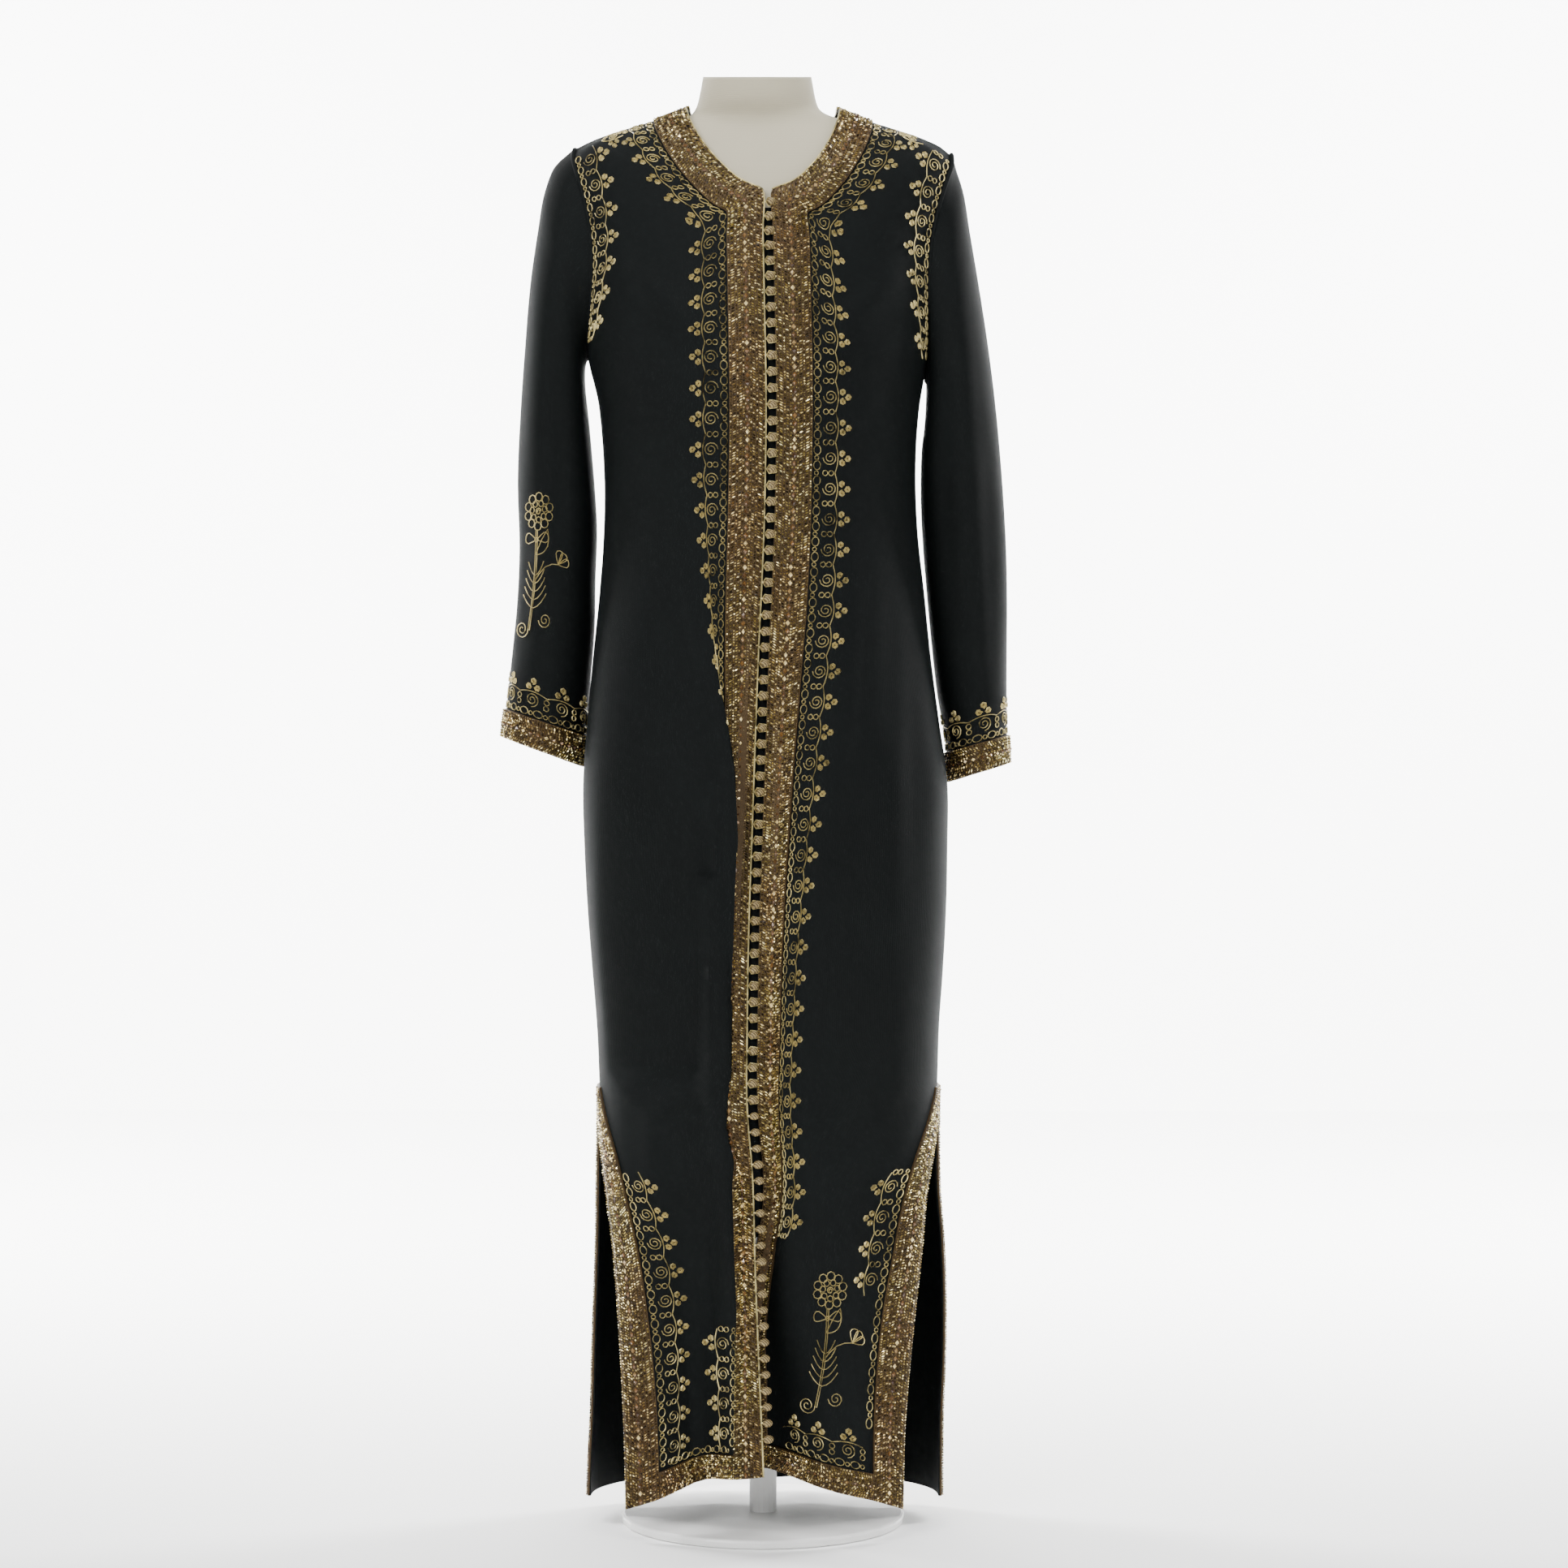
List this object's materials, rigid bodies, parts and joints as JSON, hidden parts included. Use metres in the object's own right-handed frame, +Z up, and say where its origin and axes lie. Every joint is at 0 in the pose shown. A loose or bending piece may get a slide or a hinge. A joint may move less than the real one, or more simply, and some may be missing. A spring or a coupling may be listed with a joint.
{
  "type": "moroccan kaftan on a limbless dress form",
  "caption": "Full-length black knit kaftan with gold beaded braid edges, side slits and a buttoned front, worn by a limbless dress form on a round stand.",
  "frame": {"origin": "centre of the round base plate's underside", "axes": "+Z up, the kaftan's front faces -Y, the wearer's right sleeve is at -X"},
  "size_m": [0.5284, 0.2908, 1.4722],
  "materials": {
    "knit": "fine black crepe knit with a faint cool sheen",
    "braid": "gold bugle beads and sequins sewn close together",
    "gold_cord": "knotted and couched metallic gold cord",
    "form_cover": "plain cream jersey stretched over the form",
    "stand_paint": "smooth white paint"
  },
  "bodies": {
    "root": {"front_right": "knit", "front_left": "knit", "back": "knit", "sleeve_right": "knit", "sleeve_left": "knit", "braid_front_right": "braid", "braid_front_left": "braid", "braid_neck_back": "braid", "braid_hem_front_right": "braid", "braid_hem_front_left": "braid", "braid_hem_back": "braid", "braid_slit_front_right": "braid", "braid_slit_front_left": "braid", "braid_slit_back_right": "braid", "braid_slit_back_left": "braid", "braid_cuff_right": "braid", "braid_cuff_left": "braid", "button_row": "gold_cord", "form_torso": "form_cover", "stand_pole": "stand_paint", "stand_base": "stand_paint"}
  },
  "joints": []
}
